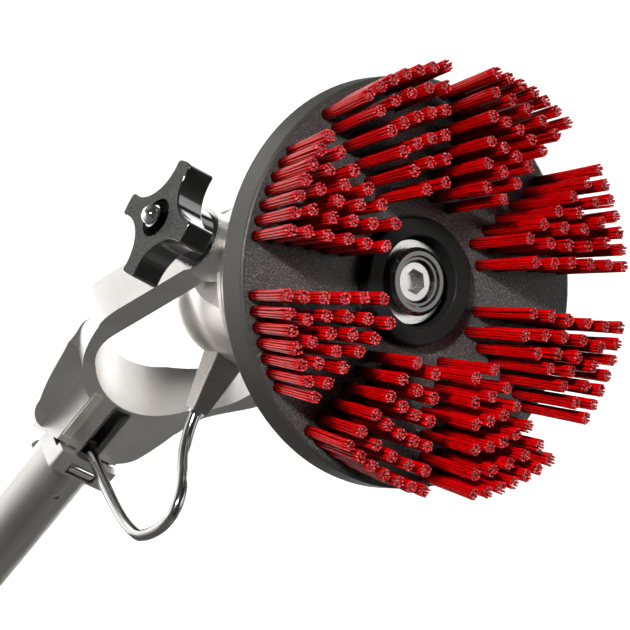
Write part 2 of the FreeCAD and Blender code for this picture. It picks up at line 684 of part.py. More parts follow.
def yoke():
    body = yoke_outline().common(yoke_side())
    stem_core = box(-STEM_HALF_WIDTH, STEM_HALF_WIDTH, 0, 90, -170, -60)
    near_pocket = pocket_prism().cut(rear_plate_zone()).cut(stem_core)
    far_pocket = pocket_prism().mirror(V(0, 0, 0), X_AXIS)
    far_pocket = far_pocket.cut(rear_plate_zone()).cut(front_plate_zone()).cut(stem_core)
    body = body.cut(near_pocket).cut(far_pocket)
    for side in (-1, 1):
        inner, outer = sorted((side * ARM_INNER, side * ARM_OUTER))
        body = body.fuse(cyl_x(ARM_BOSS_R, inner, outer))
    body = body.cut(fork_window())
    body = body.cut(far_front_trim())
    body = body.cut(box(PAD_EDGE, 60, 20, STEM_FRONT + PAD_RISE, -170, PAD_TOP))
    body = body.fuse(cyl_z(SPIGOT_R, SPIGOT_BOTTOM, -130, 0, PIVOT_FORWARD))
    hug = ring_z(60, SPIGOT_R, -200, -PIVOT_RISE).common(cyl_z(POLE_R + 0.05, -200, -PIVOT_RISE))
    hug.translate(V(0, PIVOT_FORWARD, 0))
    body = body.cut(hug)
    body = body.cut(cyl_z(STEM_BORE_R, SPIGOT_BOTTOM - 1, STEM_BORE_TOP, 0, PIVOT_FORWARD))
    body = body.cut(slot_shape(SLOT_HALF_WIDTH, 0, 20, PIVOT_FORWARD))
    body = body.cut(cyl_x(ARM_BORE_R, -60, 60))
    body = body.cut(cyl_y(BUTTON_R + 0.05, PIVOT_FORWARD, 80, 0, BUTTON_AT))
    body = body.cut(cyl_x(2.02, 10, 30, *COLLAR_SCREW_AT))
    y, z = LATCH_AT
    return body.cut(box(-7.6, 7.6, 20, 39.6, z - 3.2, z + 3.2))


def nameplate():
    """Blank plate with a raised rim, on the near edge of the stem's front."""
    plate = box(-18.6, -13.4, STEM_FRONT - 1.1, STEM_FRONT, -134, -107)
    plate = plate.makeFillet(0.8, [edge for edge in plate.Edges if abs(edge.tangentAt(0).y) > 0.99])
    return plate.cut(box(-17.7, -14.3, STEM_FRONT - 2, STEM_FRONT - 0.5, -133.1, -107.9))


def thrust_washers():
    return Part.makeCompound([ring_x(14, 6.1, 36.3, 38.85), ring_x(14, 6.1, -38.85, -36.3)])


def outer_washer(side):
    inner, outer = sorted((side * ARM_OUTER, side * 53.1))
    return ring_x(15.0, 6.1, inner, outer)


def slot_guide():
    """Black liner of the stem's slot."""
    liner = slot_shape(SLOT_HALF_WIDTH, 0.6, STEM_FRONT - 0.4, 40.2)
    liner = liner.cut(slot_shape(SLOT_HALF_WIDTH - 0.9, 1.5, 20, 60))
    return liner.cut(box(-6, 6, 30, STEM_FRONT + 0.05, -142, -137.9))


def elbow_fitting():
    upright = HOSE_BACK + 2.2
    body = cyl_y(3.9, 40.3, upright, 0, TUBE_PORT)
    body = body.fuse(cyl_z(4.5, -139.8, TUBE_PORT + 3.9, 0, upright))
    body = body.fuse(cyl_z(HOSE_R, -141.4, -139.0, 0, HOSE_BACK))
    body = body.cut(cyl_y(TUBE_R + 0.02, 40, 43.5, 0, TUBE_PORT))
    return body.cut(cyl_z(1.2, -142, -136.5, 0, HOSE_BACK))


def line_along(points, radius, bore):
    """A pipe along straight runs joined by tangent arcs; returns the solid and the bend radii."""
    edges = []
    bends = []
    start = points[0]
    for before, corner, after in zip(points, points[1:], points[2:]):
        back = before - corner
        ahead = after - corner
        reach = 0.45 * min(back.Length, ahead.Length)
        back.normalize()
        ahead.normalize()
        turn = math.pi - back.getAngle(ahead)
        bend = reach / math.tan(turn / 2)
        entry = corner + back * reach
        leave = corner + ahead * reach
        inward = (back + ahead).normalize()
        middle = corner + inward * (bend / math.cos(turn / 2) - bend)
        edges.append(Part.LineSegment(start, entry).toShape())
        edges.append(Part.Arc(entry, middle, leave).toShape())
        bends.append(bend)
        start = leave
    edges.append(Part.LineSegment(start, points[-1]).toShape())
    path = Part.Wire(edges)
    direction = (points[1] - points[0]).normalize()

    def pipe(pipe_radius):
        section = Part.Wire(Part.makeCircle(pipe_radius, points[0], direction))
        return path.makePipeShell([section], True, False)
    return pipe(radius).cut(pipe(bore)), bends, path.Length


def feed_tube():
    """Formed line from the tube nut, looping forward under the head and back into the stem."""
    mouth = HEAD_FRAME.multiply(INLET_PLACE)
    entry = [mouth.multVec(V(0, 0, s)) - PIVOT for s in (5.5, -13.0)]
    corners = [(-46.0, -96.5), (-49.0, -116.0), (-30.0, TUBE_PORT), (43.4, TUBE_PORT)]
    tube, bends, length = line_along(entry + [V(0, y, z) for y, z in corners], TUBE_R, 1.9)
    print("feed tube bends %s, length %.1f" % ([round(b, 1) for b in bends], length))
    return tube


def supply_hose():
    """Hose from the elbow down the inside of the pole to the connector at its lower end."""
    bottom = 34.0 - POLE_LENGTH - PIVOT_RISE
    corners = [(HOSE_BACK, -141.4), (HOSE_BACK, -185.0), (PIVOT_FORWARD, -225.0), (PIVOT_FORWARD, bottom)]
    hose, bends, length = line_along([V(0, y, z) for y, z in corners], HOSE_R, 1.3)
    print("supply hose bends %s, length %.1f" % ([round(b, 1) for b in bends], length))
    return hose


def pole():
    tube = ring_z(POLE_R, POLE_BORE_R, 0, POLE_LENGTH)
    pivot_z = POLE_LENGTH + PIVOT_RISE
    tube = tube.cut(cyl_y(BUTTON_R + 0.05, 0, 20, 0, pivot_z + BUTTON_AT))
    y, z = COLLAR_SCREW_AT
    tube = tube.cut(cyl_x(2.02, 5, 30, y - PIVOT_FORWARD, pivot_z + z))
    z = pivot_z + LATCH_AT[1]
    tube = tube.cut(box(-7.6, 7.6, -20, 0, z - 3.2, POLE_LENGTH + 1).cut(cyl_z(POLE_BORE_R, 0, 400)))
    tube = tube.cut(cyl_y(1.5, -20, 0, 0, pivot_z + BUTTON_AT))
    tube = tube.cut(ring_z(POLE_R + 1, POLE_R - 0.35, DEPTH_MARK, DEPTH_MARK + 1.2))
    return rounded(tube, 0.5, is_ring(POLE_R, 0))


def pole_collar(yoke_body):
    """Saddle on the front of the pole's top, with the latch window, held by a small screw."""
    block = box(-16.5, 16.5, 30.5, 52, -149, -138)
    block = block.makeFillet(2.0, [edge for edge in block.Edges
                                   if abs(edge.tangentAt(0).z) > 0.99 and edge.CenterOfMass.y < 35])
    block = block.cut(cyl_z(POLE_R + 0.06, -160, -PIVOT_RISE, 0, PIVOT_FORWARD))
    block = block.cut(box(-40, 40, STEM_FRONT - 0.02, 70, -PIVOT_RISE, -130))
    block = block.cut(yoke_body)
    y, z = LATCH_AT
    block = block.cut(box(-8, 8, 20, 40, z - 3.1, z + 3.1))
    block = block.cut(cyl_x(2.02, 10, 40, *COLLAR_SCREW_AT))
    return max(block.Solids, key=lambda solid: solid.Volume)


def latch_roller():
    y, z = LATCH_AT
    roller = cyl_x(LATCH_R, -7, 7, y, z)
    return roller.makeFillet(0.6, [edge for edge in roller.Edges
                                   if abs(edge.BoundBox.XMin - edge.BoundBox.XMax) < 0.01])


def latch_spring():
    """Bowed leaf between the roller and the floor of its pocket."""
    y, z = LATCH_AT
    touch = y + LATCH_R + 0.05
    outer = Part.Arc(V(-6.6, 39.5, 0), V(0, touch, 0), V(6.6, 39.5, 0)).toShape()
    inner = Part.Arc(V(6.1, 39.5, 0), V(0, touch + 0.35, 0), V(-6.1, 39.5, 0)).toShape()
    ends = [Part.LineSegment(V(6.6, 39.5, 0), V(6.1, 39.5, 0)).toShape(),
            Part.LineSegment(V(-6.1, 39.5, 0), V(-6.6, 39.5, 0)).toShape()]
    face = Part.Face(Part.Wire([outer, ends[0], inner, ends[1]]))
    face.translate(V(0, 0, z - 2.0))
    return face.extrude(V(0, 0, 4))


def collar_screw():
    """Small screw through the collar's far lug into the pole and the spigot."""
    head = cyl_x(3.0, 16.52, 19.4, *COLLAR_SCREW_AT)
    head = head.makeFillet(1.4, [edge for edge in head.Edges if edge.BoundBox.XMin > 19.3])
    socket = hexagon(2.5, 3, V(18.2, *COLLAR_SCREW_AT), X_AXIS)
    return head.fuse(cyl_x(2.0, 10.5, 16.52, *COLLAR_SCREW_AT)).cut(socket)


def snap_button():
    """Button that locks the spigot in the pole: a stem behind it rests on the leaf spring."""
    outer = PIVOT_FORWARD + BUTTON_REACH
    button = cyl_y(BUTTON_R, PIVOT_FORWARD + 8.6, outer, 0, BUTTON_AT)
    button = button.makeFillet(1.6, [edge for edge in button.Edges if edge.BoundBox.YMin > outer - 0.1])
    return button.fuse(cyl_y(2.0, PIVOT_FORWARD + 7.0, PIVOT_FORWARD + 8.6, 0, BUTTON_AT))


def snap_spring():
    """Leaf along the spigot's bore, fixed low down and pressing on the button's stem."""
    bore = PIVOT_FORWARD
    points = [(bore + 6.5, -177), (bore + 7.0, -177), (bore + 7.0, -157), (bore + 6.5, -157)]
    return prism_x(points, -3.4, 3.4)


def pole_end_plug():
    plug = cyl_z(POLE_BORE_R - 0.05, 3, 22).cut(cyl_z(6.0, 2, 23))
    return rounded(plug, 0.6, is_ring(POLE_BORE_R - 0.05, 3))


def hose_connector():
    """Fitting held in the end plug; a hose tail above it enters the supply hose."""
    return turned([(2.6, 6), (5.95, 6), (5.95, 24), (4.6, 24), (4.6, 33.9), (1.25, 33.9), (1.25, 44),
                   (0.8, 44), (0.8, 18), (2.6, 17)])


def make_handle():
    body = yoke()
    save("yoke", body, PLAIN_FRAME)
    save("nameplate", nameplate(), PLAIN_FRAME)
    save("thrust_washers", thrust_washers(), PLAIN_FRAME)
    save("knob_washer", outer_washer(-1), PLAIN_FRAME)
    save("bolt_washer", outer_washer(1), PLAIN_FRAME)
    save("slot_guide", slot_guide(), PLAIN_FRAME)
    save("elbow_fitting", elbow_fitting(), PLAIN_FRAME)
    save("feed_tube", feed_tube(), PLAIN_FRAME)
    save("supply_hose", supply_hose(), PLAIN_FRAME)
    save("pole", pole())
    save("pole_collar", pole_collar(body), PLAIN_FRAME)
    save("latch_roller", latch_roller(), PLAIN_FRAME)
    save("latch_spring", latch_spring(), PLAIN_FRAME)
    save("collar_screw", collar_screw(), PLAIN_FRAME)
    save("snap_button", snap_button(), PLAIN_FRAME)
    save("snap_spring", snap_spring(), PLAIN_FRAME)
    save("pole_end_plug", pole_end_plug())
    save("hose_connector", hose_connector())


def main():
    os.makedirs("parts", exist_ok=True)
    make_brush()
    make_head()
    make_knob()
    make_handle()


main()
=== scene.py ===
import json
import math
import random

import bpy
from mathutils import Matrix, Vector


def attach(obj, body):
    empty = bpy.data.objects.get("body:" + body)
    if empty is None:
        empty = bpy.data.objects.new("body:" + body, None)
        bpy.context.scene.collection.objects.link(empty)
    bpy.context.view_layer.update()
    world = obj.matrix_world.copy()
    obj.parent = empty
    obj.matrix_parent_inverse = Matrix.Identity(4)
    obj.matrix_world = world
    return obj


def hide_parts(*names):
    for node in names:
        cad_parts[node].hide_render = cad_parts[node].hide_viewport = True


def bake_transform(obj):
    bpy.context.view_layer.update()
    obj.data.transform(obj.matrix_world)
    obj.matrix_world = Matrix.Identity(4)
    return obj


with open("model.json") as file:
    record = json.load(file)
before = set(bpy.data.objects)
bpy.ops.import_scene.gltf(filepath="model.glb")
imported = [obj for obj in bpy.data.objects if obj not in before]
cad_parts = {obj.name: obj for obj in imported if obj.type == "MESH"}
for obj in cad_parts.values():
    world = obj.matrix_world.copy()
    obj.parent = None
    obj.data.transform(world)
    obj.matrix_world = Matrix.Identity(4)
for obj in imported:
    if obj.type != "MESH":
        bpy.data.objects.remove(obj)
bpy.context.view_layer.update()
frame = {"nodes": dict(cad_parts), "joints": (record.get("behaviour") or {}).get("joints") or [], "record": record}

# ---------------------------------------------------------------- the frame
NODES = frame["nodes"]
JOINTS = {joint["name"]: joint for joint in frame["joints"]}
PIVOT = Vector(JOINTS["head_tilt"]["pos_m"])
SPIN = Vector(JOINTS["brush_spin"]["axis"]).normalized()
ACROSS = Vector((1, 0, 0))
RISE = SPIN.cross(ACROSS)
HEAD = Matrix((ACROSS, RISE, SPIN)).transposed().to_4x4()
HEAD.translation = PIVOT
MM = 0.001
DISC_FACE = 92.3 * MM        # along the spin axis, from the pivot
FREE_LENGTH = 35.7 * MM


# ---------------------------------------------------------------- node helpers
class Nodes:
    """Links and sums between shader nodes, for materials and the sky; colours are linear RGB."""

    def __init__(self, node_tree):
        self.nodes = node_tree.nodes
        self.links = node_tree.links

    def link(self, source, target):
        self.links.new(source, target)

    def feed(self, value, socket):
        """Sets a number or a colour on a socket, or links another socket to it."""
        if isinstance(value, (int, float)):
            socket.default_value = value
        elif isinstance(value, tuple):
            socket.default_value = value + (1,)
        else:
            self.link(value, socket)

    def math(self, operation, a, b):
        node = self.nodes.new("ShaderNodeMath")
        node.operation = operation
        self.feed(a, node.inputs[0])
        self.feed(b, node.inputs[1])
        return node.outputs["Value"]


class Tree(Nodes):
    """One material's nodes."""

    def __init__(self, name):
        self.material = bpy.data.materials.new(name)
        self.material.use_nodes = True
        super().__init__(self.material.node_tree)
        self.shader = self.nodes["Principled BSDF"]
        self.coords = self.nodes.new("ShaderNodeTexCoord")

    def mapped(self, scale):
        mapping = self.nodes.new("ShaderNodeMapping")
        mapping.inputs["Scale"].default_value = scale
        self.link(self.coords.outputs["Object"], mapping.inputs["Vector"])
        return mapping.outputs["Vector"]

    def noise(self, scale, detail=4.0, roughness=0.55, vector=None):
        node = self.nodes.new("ShaderNodeTexNoise")
        node.inputs["Scale"].default_value = scale
        node.inputs["Detail"].default_value = detail
        node.inputs["Roughness"].default_value = roughness
        self.link(vector or self.coords.outputs["Object"], node.inputs["Vector"])
        return node.outputs["Fac"]

    def vector(self, operation, a, b):
        """Vector operation; a is a socket or None for the object's coordinates."""
        node = self.nodes.new("ShaderNodeVectorMath")
        node.operation = operation
        self.link(a or self.coords.outputs["Object"], node.inputs[0])
        node.inputs[1].default_value = b
        return node.outputs["Value" if operation == "DOT_PRODUCT" else "Vector"]

    def axis_distance(self, centre, axis):
        """Distance from the line through centre along axis."""
        across = self.vector("CROSS_PRODUCT", self.vector("SUBTRACT", None, centre), axis)
        length = self.nodes.new("ShaderNodeVectorMath")
        length.operation = "LENGTH"
        self.link(across, length.inputs[0])
        return length.outputs["Value"]

    def mix(self, factor, a, b):
        node = self.nodes.new("ShaderNodeMixRGB")
        self.link(factor, node.inputs["Fac"])
        self.feed(a, node.inputs["Color1"])
        self.feed(b, node.inputs["Color2"])
        return node.outputs["Color"]

    def ramp(self, factor, stops):
        """Colour ramp; stops are (position, grey or colour)."""
        node = self.nodes.new("ShaderNodeValToRGB")
        elements = node.color_ramp.elements
        while len(elements) < len(stops):
            elements.new(0.5)
        for element, (position, colour) in zip(elements, stops):
            element.position = position
            if not isinstance(colour, tuple):
                colour = (colour, colour, colour)
            element.color = colour + (1,)
        self.link(factor, node.inputs["Fac"])
        return node.outputs["Color"]

    def bump(self, height, distance):
        node = self.nodes.new("ShaderNodeBump")
        node.inputs["Distance"].default_value = distance
        self.link(height, node.inputs["Height"])
        return node.outputs["Normal"]

    def set(self, **values):
        for key, value in values.items():
            self.feed(value, self.shader.inputs[key.replace("_", " ")])


# ---------------------------------------------------------------- materials
def satin_metal(name, dark, light, rough, grain, depth):
    """Blasted or cast metal: cloudy tone, varied roughness, fine grain."""
    tree = Tree(name)
    cloud = tree.noise(55, 3)
    fine = tree.noise(grain, 2, 0.6)
    tone = tree.ramp(cloud, [(0.3, dark), (0.7, light)])
    gloss = tree.ramp(fine, [(0.3, rough - 0.05), (0.7, rough + 0.06)])
    tree.set(Base_Color=tone, Metallic=1.0, Roughness=gloss, Normal=tree.bump(fine, depth))
    return tree.material


def chrome(name, colour, rough):
    """Polished metal with faint smears."""
    tree = Tree(name)
    smear = tree.noise(260, 3)
    tone = tree.ramp(smear, [(0.3, tuple(c * 0.93 for c in colour)), (0.7, colour)])
    gloss = tree.ramp(smear, [(0.35, rough), (0.75, rough + 0.05)])
    tree.set(Base_Color=tone, Metallic=1.0, Roughness=gloss)
    return tree.material


def brushed_pole(name):
    """Drawn tube: long fine streaks and a soft satin sheen."""
    tree = Tree(name)
    streak = tree.noise(1.0, 3, 0.6, tree.mapped((2600, 2600, 26)))
    cloud = tree.noise(30, 2)
    tone = tree.ramp(streak, [(0.25, (0.50, 0.48, 0.455)), (0.75, (0.68, 0.655, 0.63))])
    gloss = tree.ramp(cloud, [(0.3, 0.30), (0.7, 0.40)])
    tree.set(Base_Color=tone, Metallic=1.0, Roughness=gloss, Normal=tree.bump(streak, 0.00002))
    return tree.material


BOSS_EDGE = (0.285, 0.297)   # radii in dm where the smooth boss turns into the grained face
RIM_EDGE = (0.880, 0.890)
DECIMETRES = 10.0            # in a metre; a ramp takes values up to 1


def disc_plastic(name):
    """Dark moulded plastic: speckled grain round a smooth black boss, and a plainer rim; the grain's pale specks
    are partly painted sheen.
    """
    tree = Tree(name)
    to_local = NODES["brush_disc"].matrix_world.inverted()
    centre = to_local @ PIVOT
    spin = (to_local.to_3x3() @ SPIN).normalized()
    distance = tree.math("MULTIPLY", tree.axis_distance(centre, spin), DECIMETRES)
    outside = tree.ramp(distance, [(BOSS_EDGE[0], 0.0), (BOSS_EDGE[1], 1.0)])
    rim = tree.ramp(distance, [(RIM_EDGE[0], 0.0), (RIM_EDGE[1], 1.0)])
    grain = tree.noise(1500, 2, 0.7)
    speck = tree.noise(2600, 1)
    height = tree.math("ADD", grain, tree.math("MULTIPLY", speck, 0.5))
    # the palest stop gives bright specks: partly the plastic's own speckle, partly painted sheen
    grain_and_painted_sheen = tree.ramp(speck, [(0.35, (0.018, 0.018, 0.017)), (0.60, (0.050, 0.050, 0.048)),
                                (0.74, (0.42, 0.415, 0.40))])
    plain = tree.ramp(speck, [(0.35, (0.026, 0.024, 0.020)), (0.70, (0.050, 0.046, 0.038))])
    smooth = tree.ramp(grain, [(0.3, (0.007, 0.007, 0.007)), (0.7, (0.014, 0.014, 0.014))])
    face_gloss = tree.math("ADD", 0.10, tree.math("MULTIPLY", outside, 0.35))
    gloss = tree.math("SUBTRACT", face_gloss, tree.math("MULTIPLY", rim, 0.10))
    tree.set(Base_Color=tree.mix(rim, tree.mix(outside, smooth, grain_and_painted_sheen), plain),
             Roughness=tree.ramp(grain, [(0.3, 0.34), (0.7, 0.50)]), Specular_IOR_Level=gloss,
             Normal=tree.bump(tree.math("MULTIPLY", height, outside), 0.12 * MM))
    return tree.material


def knob_plastic(name):
    """Moulded knob: fine matt texture on its flat face, polished flanks."""
    tree = Tree(name)
    separate = tree.nodes.new("ShaderNodeSeparateXYZ")
    tree.link(tree.coords.outputs["Normal"], separate.inputs["Vector"])
    facing = tree.math("ABSOLUTE", separate.outputs["X"], 0)
    face = tree.ramp(facing, [(0.90, 0.0), (0.97, 1.0)])
    grain = tree.noise(1300, 3, 0.8)
    textured = tree.ramp(grain, [(0.42, (0.006, 0.006, 0.006)), (0.60, (0.070, 0.070, 0.067))])
    tone = tree.mix(face, (0.008, 0.008, 0.008), textured)
    rough = tree.math("ADD", 0.13, tree.math("MULTIPLY", face, 0.36))
    height = tree.math("MULTIPLY", grain, face)
    gloss = tree.math("SUBTRACT", 1.0, tree.math("MULTIPLY", face, 0.75))
    tree.set(Base_Color=tone, Roughness=rough, Specular_IOR_Level=gloss, Coat_Roughness=0.08,
             Coat_Weight=tree.math("SUBTRACT", 1.0, face), Normal=tree.bump(height, 0.16 * MM))
    return tree.material


def plastic(name, dark, light, rough):
    """Rubber or plain nylon with a slight mottle."""
    tree = Tree(name)
    fine = tree.noise(900, 3)
    tree.set(Base_Color=tree.ramp(fine, [(0.3, dark), (0.7, light)]),
             Roughness=tree.ramp(fine, [(0.3, rough - 0.05), (0.7, rough + 0.08)]),
             Normal=tree.bump(fine, 0.03 * MM))
    return tree.material


def bristle_side(name):
    """Translucent red nylon filament, with painted shade that darkens it towards its root."""
    tree = Tree(name)
    along = tree.noise(420, 3)
    tone = tree.ramp(along, [(0.3, (0.34, 0.0003, 0.0008)), (0.7, (0.54, 0.0006, 0.0015))])
    rise = tree.vector("DOT_PRODUCT", tree.vector("SUBTRACT", None, PIVOT), SPIN)
    share = tree.math("DIVIDE", tree.math("SUBTRACT", rise, DISC_FACE), FREE_LENGTH)
    # painted shade: from a third of the free length down to the disc face, the filaments fade to a darker tone
    painted_root_shade = tree.ramp(share, [(0.0, 0.0), (0.35, 1.0)])
    dark = tree.ramp(along, [(0.3, (0.18, 0.0006, 0.001)), (0.7, (0.28, 0.001, 0.002))])
    tree.set(Base_Color=tree.mix(painted_root_shade, dark, tone), Roughness=tree.ramp(along, [(0.3, 0.11), (0.7, 0.17)]),
             Subsurface_Weight=0.06, Subsurface_Scale=1.2 * MM, Specular_IOR_Level=0.3)
    tree.shader.inputs["Subsurface Radius"].default_value = (1.0, 0.08, 0.06)
    return tree.material


def bristle_cut(name):
    """Cut filament ends: dark red, with pale specks that are painted glints."""
    tree = Tree(name)
    speck = tree.noise(1900, 2)
    # painted highlight: the palest pink stop puts glints on the cut ends
    tone = tree.ramp(speck, [(0.42, (0.26, 0.006, 0.010)), (0.56, (0.44, 0.05, 0.06)),
                             (0.70, (0.74, 0.34, 0.34))])
    tree.set(Base_Color=tone, Roughness=tree.ramp(speck, [(0.3, 0.25), (0.7, 0.5)]))
    return tree.material


SATIN_METALS = {             # darker tone, lighter tone, roughness, grain's scale, grain's depth
    "cast_alloy": ((0.60, 0.58, 0.555), (0.70, 0.68, 0.655), 0.40, 1500, 0.03 * MM),
    "plate_alloy": ((0.80, 0.76, 0.69), (0.93, 0.89, 0.82), 0.34, 1100, 0.08 * MM),
    "housing_alloy": ((0.84, 0.80, 0.76), (0.92, 0.885, 0.85), 0.34, 2200, 0.01 * MM),
    "nipple_alloy": ((0.45, 0.425, 0.40), (0.52, 0.495, 0.47), 0.30, 2600, 0.003 * MM),
    "steel_parts": ((0.50, 0.50, 0.49), (0.66, 0.66, 0.65), 0.28, 1300, 0.02 * MM),
    "brass_parts": ((0.07, 0.052, 0.03), (0.14, 0.105, 0.06), 0.42, 1300, 0.02 * MM),
}
CHROMES = {                  # colour, roughness
    "bright_chrome": ((0.88, 0.88, 0.87), 0.06),
    "steel_line": ((0.58, 0.58, 0.56), 0.09),
}
PLASTICS = {                 # darker tone, lighter tone, roughness
    "seal_rubber": ((0.012, 0.012, 0.012), (0.03, 0.03, 0.03), 0.6),
    "nylon_washer": ((0.60, 0.57, 0.50), (0.74, 0.71, 0.64), 0.45),
    "hose_rubber": ((0.012, 0.012, 0.013), (0.03, 0.03, 0.032), 0.5),
}
MATERIALS = {
    "pole_steel": brushed_pole("pole_steel"),
    "dark_disc": disc_plastic("dark_disc"),
    "black_plastic": knob_plastic("black_plastic"),
    "red_bristle": bristle_side("red_bristle"),
}
for recipe, looks in ((satin_metal, SATIN_METALS), (chrome, CHROMES), (plastic, PLASTICS)):
    for material_name, look in looks.items():
        MATERIALS[material_name] = recipe(material_name, *look)
CUT_END = bristle_cut("bristle_cut_end")
SLOT_OF = {entry["node"]: entry["material_slot"] for entry in frame["record"]["subparts"]}
EASED_EDGES = (("yoke", 1.1 * MM), ("pole_collar", 0.5 * MM), ("inlet_nipple", 0.4 * MM),
               ("nameplate", 0.2 * MM))
SHARP_EDGE = math.radians(38)


def add_object(name, data):
    obj = bpy.data.objects.new(name, data)
    bpy.context.scene.collection.objects.link(obj)
    return obj


def dress(obj, material):
    obj.data.materials.clear()
    obj.data.materials.append(material)


def dress_cad_nodes():
    """Every CAD node gets its slot's material, and eased edges where they are seen."""
    for name, obj in NODES.items():
        dress(obj, MATERIALS[SLOT_OF[name]])
    for name, width in EASED_EDGES:
        bevel = NODES[name].modifiers.new("eased_edges", "BEVEL")
        bevel.width = width
        bevel.segments = 3
        bevel.limit_method = "ANGLE"
        bevel.angle_limit = SHARP_EDGE
        bevel.harden_normals = True


# ---------------------------------------------------------------- bristles
ROOT_SHARE = 0.917           # radius of a tuft's root over that of its tip
SECTORS = 8
SECTOR_START = -4.1          # degrees
TUFT_ROWS = [                # tufts in the row, half angle, radius of the tips in mm
    (7, 14.0, 91.9),
    (5, 13.1, 83.4),
    (5, 12.2, 73.1),
    (4, 10.85, 62.4),
    (3, 10.0, 52.6),
    (2, 7.3, 42.5),
]
BUNDLE_RINGS = ((5, 0.95 * MM, 1), (11, 1.98 * MM, 2))       # filaments, radius, ring's number
FILAMENT_R = 0.52 * MM
TIP_SPREAD = 1.10            # a bundle's width at the tip over that at the root, before variation
DRIFT = 0.16 * MM            # standard drift of a filament's tip
INNER_SHORTER = 0.5 * MM     # the outer ring stands this much above the filaments inside it
ROOT_BURIED = 2.0 * MM
CAP_SHARE = 0.72             # the cut end's flat over the filament's width
CAP_RISE = 0.12 * MM
SIDES = 7
STATIONS = (0.0, 0.3, 0.6, 0.85, 1.0)                        # along a filament, root to tip
FIRST_SEED = 40


def tuft_axes(sector):
    """Root, tip and outward direction of each tuft in a sector, in the head's axes."""
    middle = SECTOR_START + 360.0 / SECTORS * sector
    for count, half_angle, tip_mm in TUFT_ROWS:
        for k in range(count):
            angle = math.radians(middle + half_angle * (2.0 * k / (count - 1) - 1))
            outward = Vector((math.cos(angle), math.sin(angle), 0))
            root = outward * (tip_mm * MM * ROOT_SHARE) + Vector((0, 0, DISC_FACE))
            tip = outward * (tip_mm * MM) + Vector((0, 0, DISC_FACE + FREE_LENGTH))
            yield root, tip, outward


def bundle_layout(rng):
    """Places of a tuft's filaments in its section: a core, a middle ring and an outer ring."""
    places = [(0.0, 0.0, 0)]
    for count, radius, ring in BUNDLE_RINGS:
        turn = rng.uniform(0, math.tau)
        for k in range(count):
            angle = turn + math.tau * (k + rng.uniform(-0.12, 0.12)) / count
            r = radius * rng.uniform(0.95, 1.04)
            places.append((r * math.cos(angle), r * math.sin(angle), ring))
    return places


def add_filament(verts, faces, cut_faces, root, tip, side, up, place, rng):
    """One filament as a bent tube whose closed end is a low dome."""
    x, y, ring = place
    along = (tip - root).normalized()
    spread = TIP_SPREAD + rng.uniform(-0.02, 0.12)
    drift = Vector((rng.gauss(0, 1), rng.gauss(0, 1))) * DRIFT
    length_change = rng.uniform(-0.7, 0.25) * MM - (INNER_SHORTER if ring < 2 else 0)
    first = len(verts)
    below = root - along * ROOT_BURIED
    span = (tip - below) + along * length_change
    for t in STATIONS:
        widen = 1 + (spread - 1) * t * t
        centre = below + span * t
        centre = centre + side * (x * widen + drift.x * t * t) + up * (y * widen + drift.y * t * t)
        for s in range(SIDES):
            angle = math.tau * s / SIDES
            verts.append(centre + (side * math.cos(angle) + up * math.sin(angle)) * FILAMENT_R)
    for ring_no in range(len(STATIONS) - 1):
        base = first + ring_no * SIDES
        for s in range(SIDES):
            after = (s + 1) % SIDES
            faces.append((base + s, base + after, base + SIDES + after, base + SIDES + s))
    top = first + (len(STATIONS) - 1) * SIDES
    cap = len(verts)
    end = sum((verts[top + s] for s in range(SIDES)), Vector()) / SIDES
    for s in range(SIDES):
        verts.append(end + (verts[top + s] - end) * CAP_SHARE + along * CAP_RISE)
    for s in range(SIDES):
        after = (s + 1) % SIDES
        cut_faces.append((top + s, top + after, cap + after, cap + s))
    cut_faces.append(tuple(cap + s for s in range(SIDES)))
    faces.append(tuple(first + s for s in reversed(range(SIDES))))


def bristle_sector(sector):
    """The filaments of one sector's tufts, as one piece that turns with the brush."""
    rng = random.Random(FIRST_SEED + sector)
    verts, faces, cut_faces = [], [], []
    for root, tip, outward in tuft_axes(sector):
        along = (tip - root).normalized()
        side = Vector((-outward.y, outward.x, 0))
        up = along.cross(side)
        for place in bundle_layout(rng):
            add_filament(verts, faces, cut_faces, root, tip, side, up, place, rng)
    mesh = bpy.data.meshes.new("bristles_%d" % (sector + 1))
    mesh.from_pydata([HEAD @ v for v in verts], [], faces + cut_faces)
    mesh.materials.append(MATERIALS["red_bristle"])
    mesh.materials.append(CUT_END)
    mesh.polygons.foreach_set("material_index", [0] * len(faces) + [1] * len(cut_faces))
    mesh.polygons.foreach_set("use_smooth", [len(f) == 4 for f in faces + cut_faces])
    mesh.update()
    obj = add_object("bristles_%d" % (sector + 1), mesh)
    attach(obj, "brush")
    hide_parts("tuft_sector_%d" % (sector + 1))


# ---------------------------------------------------------------- feed line
TUBE_R = 2.8 * MM
# Y and Z from the pivot in mm: the points that pull the tube's curve, from the head to the stem.
TUBE_ROUTE = [(-7.2, -66.4), (-14.3, -83.4), (-46.0, -96.5), (-49.0, -116.0), (-30.0, -135.2), (43.4, -135.2)]


def feed_line():
    """The formed line from the head's inlet to the stem, as one fixed tube swept along a curve."""
    curve = bpy.data.curves.new("feed_line_path", "CURVE")
    curve.dimensions = "3D"
    curve.bevel_depth = TUBE_R
    curve.bevel_resolution = 8
    curve.resolution_u = 24
    curve.use_fill_caps = True
    spline = curve.splines.new("NURBS")
    spline.points.add(len(TUBE_ROUTE) - 1)
    for point, (y, z) in zip(spline.points, TUBE_ROUTE):
        place = PIVOT + Vector((0, y * MM, z * MM))
        point.co = (*place, 1)
    spline.order_u = 3
    spline.use_endpoint_u = True
    maker = add_object("feed_line_path", curve)
    graph = bpy.context.evaluated_depsgraph_get()
    mesh = bpy.data.meshes.new_from_object(maker.evaluated_get(graph))
    mesh.name = "feed_line"
    bpy.data.objects.remove(maker)
    obj = add_object("feed_line", mesh)
    for polygon in mesh.polygons:
        polygon.use_smooth = len(polygon.vertices) == 4
    dress(obj, MATERIALS["steel_line"])
    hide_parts("feed_tube")
    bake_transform(obj)


